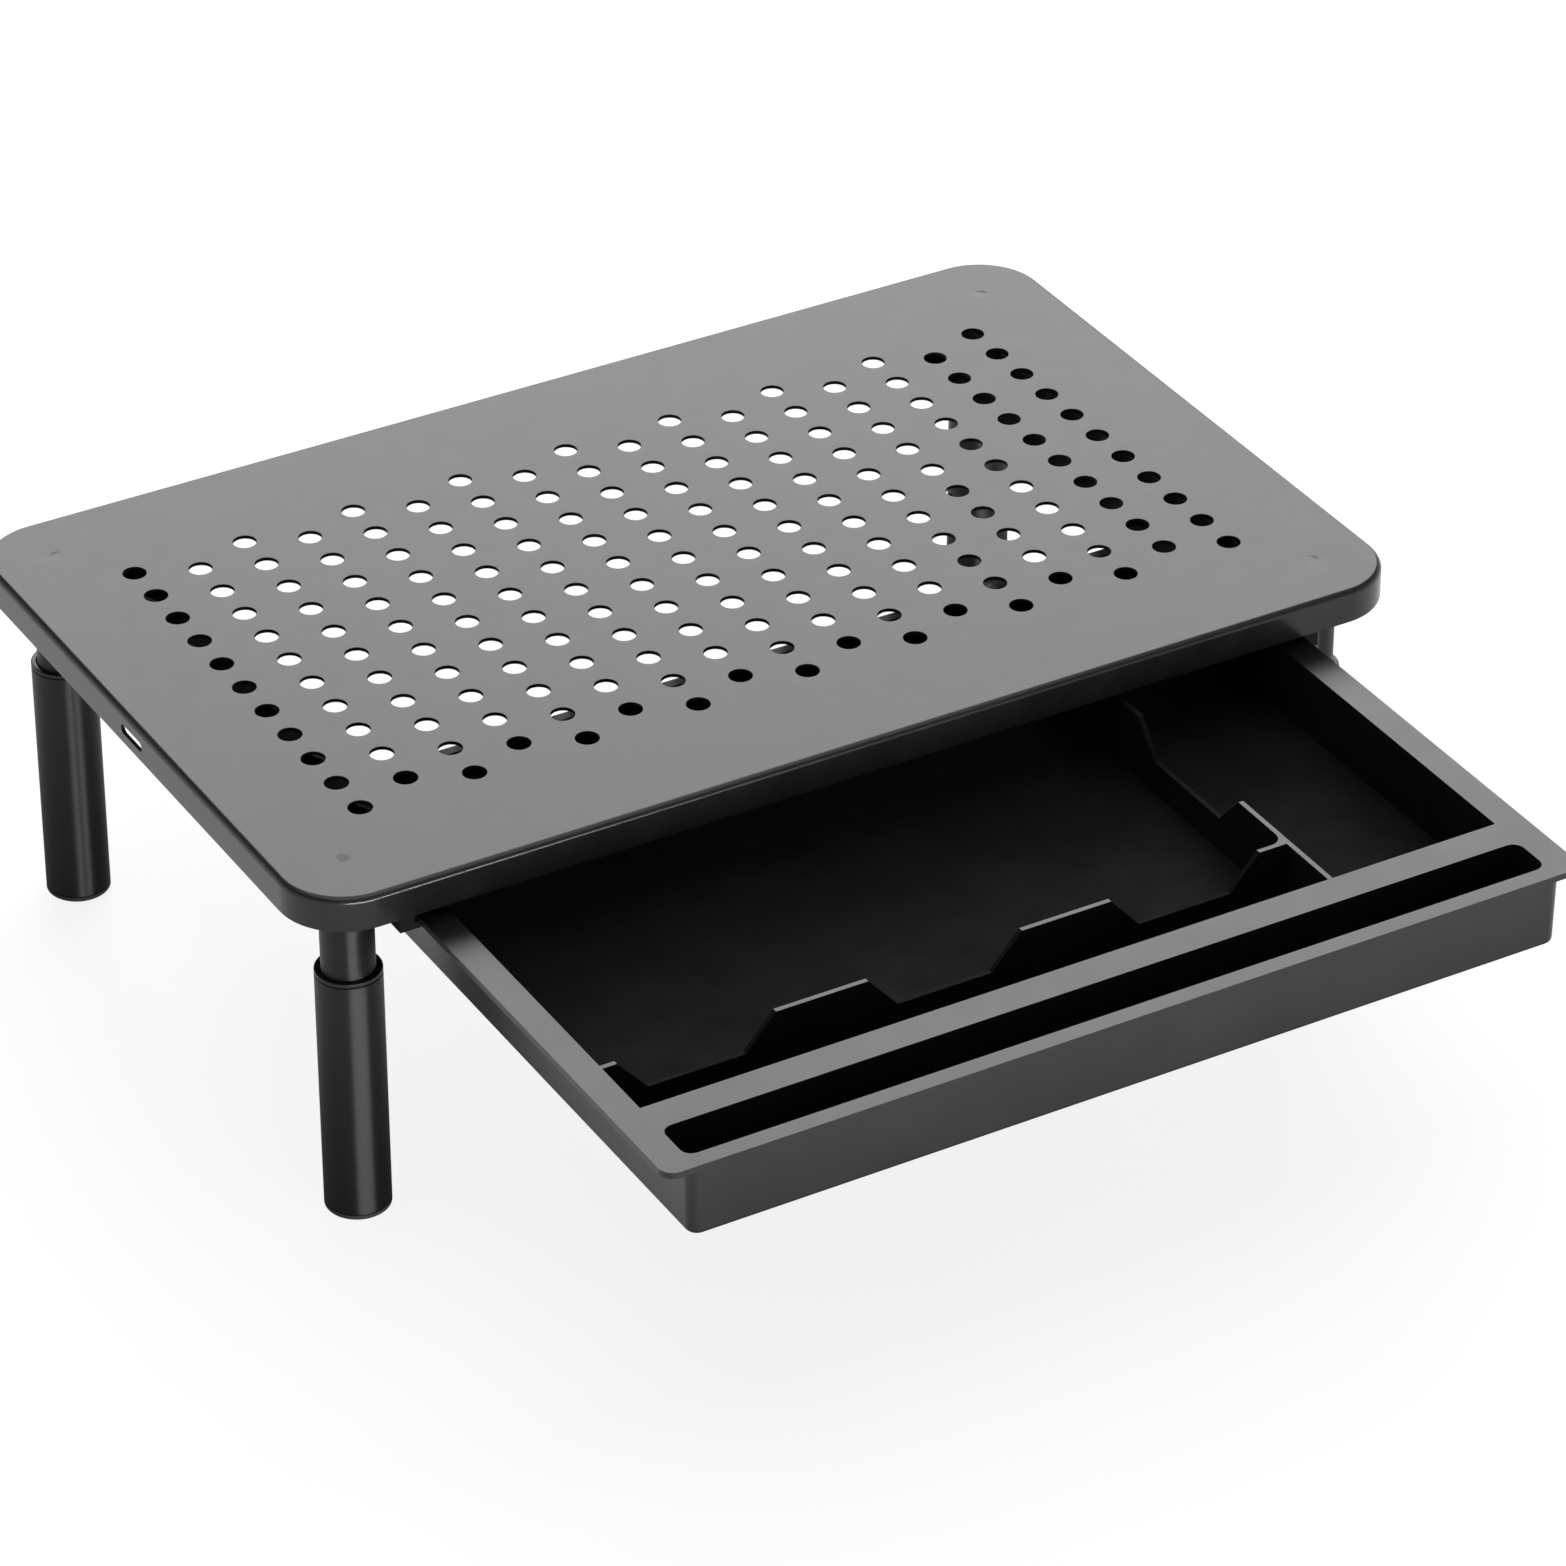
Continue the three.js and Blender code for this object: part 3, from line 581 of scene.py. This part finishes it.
def weld_mark(bm, place, plate_centre):
    """Shallow round dent over a weld, deepest on its outward side. Returns its outer ring."""
    outward = (place - plate_centre).normalized()
    rings = []
    for inset, share in WELD_MARK_STEPS:
        radius = WELD_MARK_RADIUS - WELD_MARK_RIM * inset
        ring = []
        for point in circle(place.x, place.y, radius, place.z, VENT_SIDES):
            lean = (point - place).dot(outward) / radius
            ring.append(point - Vector((0, 0, WELD_MARK_DEPTH * share * (1 + lean) / 2)))
        rings.append(add_ring(bm, ring))
    bridge_all(bm, rings)
    bm.faces.new(rings[-1])
    return rings[0]


def vent_centres(centre, width, depth):
    """A grid of holes and a second one half a pitch over."""
    pitch_x = (width - 2 * VENT_MARGIN_X) / (VENT_COLUMNS - 1)
    pitch_y = (depth - 2 * VENT_MARGIN_Y) / (VENT_ROWS - 1)
    for shift in (0, 1):
        columns, rows = VENT_COLUMNS - shift, VENT_ROWS - shift
        for column in range(columns):
            for row in range(rows):
                x = centre[0] + (column - (columns - 1) / 2) * pitch_x
                yield x, centre[1] + (row - (rows - 1) / 2) * pitch_y


def slot_cutter(low, high):
    """Long prism with round ends that opens both cable slots."""
    radius = SLOT_HEIGHT / 2
    reach = SLOT_LENGTH / 2 - radius
    level = high.z - SLOT_DROP
    outline = []
    for sign, start in ((1, -90), (-1, 90)):
        middle = (low.y + high.y) / 2 + sign * reach
        for step in range(CORNER_STEPS + 1):
            angle = math.radians(start + 180 * step / CORNER_STEPS)
            outline.append((middle + radius * math.cos(angle), level + radius * math.sin(angle)))
    return prism("slot_cutter", outline, low.x - SHEET, high.x + SHEET)


def threaded_stud(name, centre, top, radius, length, pitch, material, collar=None):
    """Stud with a rolled thread and a chamfered end, with its weld collar if it has one."""
    depth = pitch / 2
    profile = [(0, top)]
    start = top
    if collar:
        reach, thickness = collar
        start = top - thickness
        profile += [(reach, top), (reach, start + WELD_COLLAR_CHAMFER), (reach - SOFT_EDGE, start)]
    profile.append((radius - depth, start))
    end = top - length
    level = start - pitch / 2
    while level - pitch > end + pitch:
        profile += [(radius, level), (radius - depth, level - pitch / 2)]
        level -= pitch
    profile += [(radius, level), (radius, end + pitch), (radius - depth, end), (0, end)]
    mesh = turned(name, profile, centre, SMALL_SIDES)
    make_object(name, mesh, material, "riser", "top_plate", THREAD_SHARP_ANGLE)


def plate_studs(material):
    """The studs that are welded under the plate, for the legs and the rails."""
    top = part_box("top_plate")[1].z - SHEET
    sizes = (LEG_STUD_RADIUS, LEG_STUD_LENGTH, LEG_STUD_PITCH)
    collar = (WELD_COLLAR_RADIUS, WELD_COLLAR_THICKNESS)
    for leg in LEGS:
        threaded_stud("leg_stud_" + leg, leg_centre(leg), top, *sizes, material, collar)
    sizes = (RAIL_STUD_RADIUS, RAIL_STUD_LENGTH, RAIL_STUD_PITCH)
    for side in SIDES:
        for stud in STUDS:
            centre = node_centre(f"rail_nut_{side}_{stud}")
            threaded_stud(f"rail_stud_{side}_{stud}", centre, top, *sizes, material)


# Rail nuts

def rail_nut(side, stud, material):
    """Flanged hexagon nut, chamfered at its free end."""
    node = f"rail_nut_{side}_{stud}"
    low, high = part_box(node)
    x, y = node_centre(node)
    bore = RAIL_STUD_RADIUS + FIT_GAP
    flange = (high.x - low.x) / 2
    rings = [
        circle(x, y, bore, high.z, NUT_SIDES),
        circle(x, y, flange - FINE_EDGE, high.z, NUT_SIDES),
        circle(x, y, flange, high.z - FINE_EDGE, NUT_SIDES),
        circle(x, y, flange, high.z - NUT_FLANGE_RIM, NUT_SIDES),
        hexagon(x, y, high.z - NUT_FLANGE, 0),
        hexagon(x, y, low.z + SOFT_EDGE, 0),
        hexagon(x, y, low.z, NUT_CHAMFER),
        circle(x, y, bore + SOFT_EDGE, low.z, NUT_SIDES),
        circle(x, y, bore, low.z + SOFT_EDGE, NUT_SIDES),
    ]
    bm = bmesh.new()
    made = [add_ring(bm, ring) for ring in rings]
    bridge_all(bm, made + made[:1])
    mesh = mesh_from(bm, node)
    make_object(node + "_finished", mesh, material, "riser", node, THREAD_SHARP_ANGLE)


def hexagon(x, y, z, shrink):
    """Points along a nut's six sides, with its corners cut back by a length."""
    corners = circle(0, 0, NUT_CORNER_RADIUS, 0, 6)
    steps = NUT_SIDES // 6
    ring = []
    for first, second in zip(corners, corners[1:] + corners[:1]):
        for step in range(steps):
            away = first.lerp(second, step / steps)
            away.length = min(away.length, NUT_CORNER_RADIUS - shrink)
            ring.append(Vector((x, y, z)) + away)
    return ring


# Legs

def leg_centre(leg):
    return node_centre("upper_tube_" + leg)


def inward(leg):
    """Sign of the direction along X in which a leg's button looks."""
    return 1 if leg_centre(leg)[0] < 0 else -1


def button_level(leg):
    low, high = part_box("snap_button_" + leg)
    return (low.z + high.z) / 2


def side_hole(leg, level, reach):
    """Round cutter along X, from a leg's axis out through the wall on its inward side."""
    x, y = leg_centre(leg)
    ring = circle(y, level, BUTTON_RADIUS + FIT_GAP, 0, SMALL_SIDES)
    ends = sorted((x, x + inward(leg) * reach))
    return prism("side_hole", [(point.x, point.y) for point in ring], *ends)


def tube(node, leg, wall, levels, material, body, sharp):
    """Tube with its four edges broken and a hole through one wall at each level."""
    low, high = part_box(node)
    outer = (high.y - low.y) / 2
    inner = outer - wall
    edge = FINE_EDGE
    profile = [
        (inner, low.z + edge), (inner + edge, low.z), (outer - edge, low.z), (outer, low.z + edge),
        (outer, high.z - edge), (outer - edge, high.z), (inner + edge, high.z), (inner, high.z - edge),
    ]
    holes = [side_hole(leg, level, outer + HOLE_OVERRUN) for level in levels]
    mesh = cut_away(turned(node, profile, leg_centre(leg)), holes)
    make_object(node + "_finished", mesh, material, body, node, sharp)


def upper_tube(leg, material):
    """Inner tube with one hole, for the button."""
    tube("upper_tube_" + leg, leg, UPPER_WALL, [button_level(leg)], material, "riser", SHARP_ANGLE)


def lower_tube(leg, material):
    """Outer tube with a hole for each height."""
    levels = [button_level(leg) + step * HEIGHT_STEP for step in (-1, 0, 1)]
    tube("lower_tube_" + leg, leg, LOWER_WALL, levels, material, leg + "_leg", TUBE_SHARP_ANGLE)


def guide_bush(leg, material):
    """Sleeve in the mouth of the lower tube, capped by a flange with a rounded edge."""
    node = "guide_bush_" + leg
    low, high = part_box(node)
    flange = (high.y - low.y) / 2
    outer = flange - LOWER_WALL - BUSH_GAP
    tube_low, tube_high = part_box("upper_tube_" + leg)
    inner = (tube_high.y - tube_low.y) / 2 + BUSH_GAP
    under = high.z - BUSH_FLANGE
    edge = FINE_EDGE
    profile = [
        (inner, low.z + edge), (inner + edge, low.z), (outer - edge, low.z), (outer, low.z + edge),
        (outer, under), (flange - edge, under), (flange, under + edge),
    ]
    round_edge = BUSH_FLANGE_EDGE
    profile += arc(flange - round_edge, high.z - round_edge, round_edge, round_edge, 0)
    profile += [(inner + SOFT_EDGE, high.z), (inner, high.z - SOFT_EDGE)]
    mesh = turned(node, profile, leg_centre(leg))
    make_object(node + "_finished", mesh, material, leg + "_leg", node, TUBE_SHARP_ANGLE)


def foot_cap(leg, material):
    """Rubber cap: a pad with a rounded edge and a hollow ribbed plug."""
    node = "foot_cap_" + leg
    low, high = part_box(node)
    outer = (high.y - low.y) / 2
    plug = outer - LOWER_WALL - FIT_GAP
    pad_top = low.z + PAD_THICKNESS
    profile = [(0, low.z)]
    profile += arc(outer - PAD_EDGE, low.z + PAD_EDGE, PAD_EDGE, PAD_EDGE, -90)
    profile += [(outer, pad_top - FINE_EDGE), (outer - FINE_EDGE, pad_top), (plug, pad_top)]
    pitch = (high.z - pad_top) / PLUG_RIBS
    for rib in range(PLUG_RIBS):
        start, crest, end = [pad_top + pitch * (rib + share) for share in PLUG_RIB_STEPS]
        profile += [(plug - FIT_GAP, start), (plug, crest), (plug, end)]
    inner = plug - PLUG_WALL
    profile += [(plug - FIT_GAP, high.z), (inner, high.z), (inner, pad_top), (0, pad_top)]
    mesh = turned(node, profile, leg_centre(leg))
    make_object(node + "_finished", mesh, material, leg + "_leg", node, TUBE_SHARP_ANGLE)


def leg_insert(leg, material):
    """Threaded insert in the head of the upper tube."""
    node = "leg_insert_" + leg
    low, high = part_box(node)
    outer = (high.y - low.y) / 2
    body = outer - UPPER_WALL - FIT_GAP
    bore = LEG_STUD_RADIUS + FIT_GAP
    flange_end = high.z - INSERT_FLANGE
    edge = FINE_EDGE
    profile = [
        (bore + edge, low.z), (body - edge, low.z), (body, low.z + edge), (body, flange_end),
        (outer - edge, flange_end), (outer, flange_end + edge), (outer, high.z - edge),
        (outer - edge, high.z), (bore + edge, high.z), (bore, high.z - edge), (bore, low.z + edge),
    ]
    mesh = turned(node, profile, leg_centre(leg))
    make_object(node + "_finished", mesh, material, "riser", node)


def snap_button(leg, material):
    """Domed button with its shoulder, turned about its own axis, which then lies along X."""
    node = "snap_button_" + leg
    x, y = leg_centre(leg)
    toward, level = inward(leg), button_level(leg)
    low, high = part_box(node)
    back, tip = sorted(((low.x - x) * toward, (high.x - x) * toward))
    shoulder = (high.y - low.y) / 2
    face = back + BUTTON_SHOULDER_THICKNESS
    edge = FINE_EDGE
    profile = [(0, back), (shoulder - edge, back), (shoulder, back + edge), (shoulder, face - edge)]
    profile += [(shoulder - edge, face), (BUTTON_RADIUS, face)]
    profile += arc(0, tip - BUTTON_DOME, BUTTON_RADIUS, BUTTON_DOME, 0)[:-1] + [(0, tip)]
    bm = bmesh.new()
    bm.from_mesh(turned(node, profile, (0, 0), SMALL_SIDES))
    for vertex in bm.verts:
        across, up, along = vertex.co
        vertex.co = Vector((x + toward * along, y + toward * across, level + up))
    make_object(node + "_finished", mesh_from(bm, node), material, leg + "_button", node)


# Stage

def combined(tree, operation, first, second):
    node = tree.nodes.new("ShaderNodeMath")
    node.operation = operation
    tree.links.new(first, node.inputs[0])
    tree.links.new(second, node.inputs[1])
    return node.outputs[0]


def either_ray(tree, path, *kinds):
    """One where the ray is of any of these kinds."""
    seen = path.outputs[kinds[0]]
    for kind in kinds[1:]:
        seen = combined(tree, "MAXIMUM", seen, path.outputs[kind])
    return seen


def smooth_step(tree, value, start, end, low, high):
    """Goes smoothly from low to high while the value goes from start to end."""
    node = tree.nodes.new("ShaderNodeMapRange")
    node.interpolation_type = "SMOOTHSTEP"
    for name, number in (("From Min", start), ("From Max", end), ("To Min", low), ("To Max", high)):
        node.inputs[name].default_value = number
    tree.links.new(value, node.inputs["Value"])
    return node.outputs["Result"]


def floor_material():
    """Pale floor: part of its tone is its own light, so that it reads white and keeps its shadow.

    Its own light rises to white away from the riser. It would know no shadow, so it fades as seen from
    pieces that stand close over it. Its underside is clear, so that the riser can be seen from below.
    """
    material = bpy.data.materials.new("pale_floor")
    material.use_nodes = True
    tree = material.node_tree
    nodes, links = tree.nodes, tree.links
    nodes.remove(nodes["Principled BSDF"])
    diffuse = nodes.new("ShaderNodeBsdfDiffuse")
    diffuse.inputs["Color"].default_value = (FLOOR_TONE, FLOOR_TONE, FLOOR_TONE, 1)
    glow = nodes.new("ShaderNodeEmission")
    path = nodes.new("ShaderNodeLightPath")
    seen = either_ray(tree, path, "Is Camera Ray", "Is Glossy Ray", "Is Transmission Ray")
    fade = smooth_step(tree, path.outputs["Ray Length"], SHADE_NEAR, SHADE_FAR, 0, 1)
    place = nodes.new("ShaderNodeVectorMath")
    place.operation = "LENGTH"
    links.new(nodes.new("ShaderNodeTexCoord").outputs["Object"], place.inputs[0])
    strength = smooth_step(tree, place.outputs["Value"], GLOW_NEAR, GLOW_FAR, FLOOR_GLOW, 1)
    for factor in (fade, seen):
        strength = combined(tree, "MULTIPLY", strength, factor)
    links.new(strength, glow.inputs["Strength"])
    both = nodes.new("ShaderNodeAddShader")
    links.new(diffuse.outputs[0], both.inputs[0])
    links.new(glow.outputs[0], both.inputs[1])
    side = nodes.new("ShaderNodeMixShader")
    links.new(nodes.new("ShaderNodeNewGeometry").outputs["Backfacing"], side.inputs["Fac"])
    links.new(both.outputs[0], side.inputs[1])
    links.new(nodes.new("ShaderNodeBsdfTransparent").outputs[0], side.inputs[2])
    links.new(side.outputs[0], nodes["Material Output"].inputs["Surface"])
    return material


def make_floor():
    bm = bmesh.new()
    ring = add_ring(bm, circle(0, 0, FLOOR_RADIUS, 0, FLOOR_SIDES))
    bm.faces.new(ring)
    mesh = mesh_from(bm, "floor")
    floor = bpy.data.objects.new("floor", mesh)
    bpy.context.collection.objects.link(floor)
    mesh.materials.append(floor_material())


def make_world():
    """White to the camera, a white horizon under a dim ceiling in mirrors, and a grey fill for the rest."""
    world = bpy.data.worlds.new("studio")
    bpy.context.scene.world = world
    world.use_nodes = True
    tree = world.node_tree
    nodes, links = tree.nodes, tree.links
    path = nodes.new("ShaderNodeLightPath")
    height = nodes.new("ShaderNodeSeparateXYZ")
    links.new(nodes.new("ShaderNodeTexCoord").outputs["Generated"], height.inputs["Vector"])
    walls = smooth_step(tree, height.outputs["Z"], HORIZON_HEIGHT, CEILING_HEIGHT, 1, CEILING_LEVEL)
    mirrored = nodes.new("ShaderNodeMapRange")
    mirrored.inputs["To Min"].default_value = FILL_LEVEL
    links.new(walls, mirrored.inputs["To Max"])
    links.new(either_ray(tree, path, "Is Glossy Ray", "Is Transmission Ray"), mirrored.inputs["Value"])
    seen = combined(tree, "MAXIMUM", mirrored.outputs["Result"], path.outputs["Is Camera Ray"])
    back = nodes["Background"]
    back.inputs["Color"].default_value = (1, 1, 1, 1)
    links.new(seen, back.inputs["Strength"])


def soft_box(name, azimuth, elevation, distance, width, height, radiance):
    """Area lamp aimed at the object. Azimuth 0 stands behind it, 90 to its right."""
    a, e = math.radians(azimuth), math.radians(elevation)
    away = Vector((math.sin(a) * math.cos(e), math.cos(a) * math.cos(e), math.sin(e)))
    lamp = bpy.data.lights.new(name, "AREA")
    lamp.shape = "RECTANGLE"
    lamp.size = width
    lamp.size_y = height
    lamp.energy = radiance * math.pi * width * height
    piece = bpy.data.objects.new(name, lamp)
    piece.location = CENTRE + away * distance
    piece.rotation_mode = "QUATERNION"
    piece.rotation_quaternion = (-away).to_track_quat("-Z", "Y")
    piece.visible_camera = False
    bpy.context.collection.objects.link(piece)


def make_camera():
    data = bpy.data.cameras.new("camera")
    data.sensor_width = SENSOR
    data.lens = LENS
    data.clip_start = CLIP_NEAR
    data.clip_end = CLIP_FAR
    camera = bpy.data.objects.new("camera", data)
    camera.location = CAMERA_PLACE
    camera.rotation_euler = [math.radians(angle) for angle in CAMERA_TURN]
    bpy.context.collection.objects.link(camera)
    bpy.context.scene.camera = camera


def make_stage():
    bpy.context.scene.view_settings.view_transform = "Standard"
    make_world()
    make_floor()
    make_camera()
    for name, values in LAMPS.items():
        soft_box(name, *values)


# The whole riser

def make_riser():
    """Makes the materials and every piece."""
    powder = powder_coat("powder_coat", gloss=0.42, roughness=(0.2, 0.25))
    in_holes = powder_coat("powder_coat_in_holes", gloss=0.08, roughness=(0.6, 0.75))
    lacquer = tube_lacquer()
    tray = moulded_black("tray_plastic", gloss=0.45, roughness=(0.28, 0.33))
    in_pockets = moulded_black("tray_plastic_in_pockets", gloss=0.07, roughness=(0.68, 0.8))
    rail = moulded_black("rail_plastic", gloss=0.12, roughness=(0.6, 0.7))
    bush = moulded_black("bush_plastic", gloss=0.35, roughness=(0.3, 0.38))
    rubber = foot_rubber()
    zinc = zinc_plate()
    spring = spring_steel()
    plate_sheet(powder, in_holes)
    plate_studs(zinc)
    inside = (in_pockets, pocket_test())
    softened("drawer_tray", tray, "drawer", SOFT_EDGE, inside)
    for side in SIDES:
        softened(side + "_rail", rail, "riser", FINE_EDGE)
        for stud in STUDS:
            rail_nut(side, stud, zinc)
    for leg in LEGS:
        upper_tube(leg, lacquer)
        lower_tube(leg, lacquer)
        guide_bush(leg, bush)
        foot_cap(leg, rubber)
        leg_insert(leg, zinc)
        snap_button(leg, zinc)
        softened("button_spring_" + leg, spring, "riser", SPRING_EDGE)


make_stage()
make_riser()
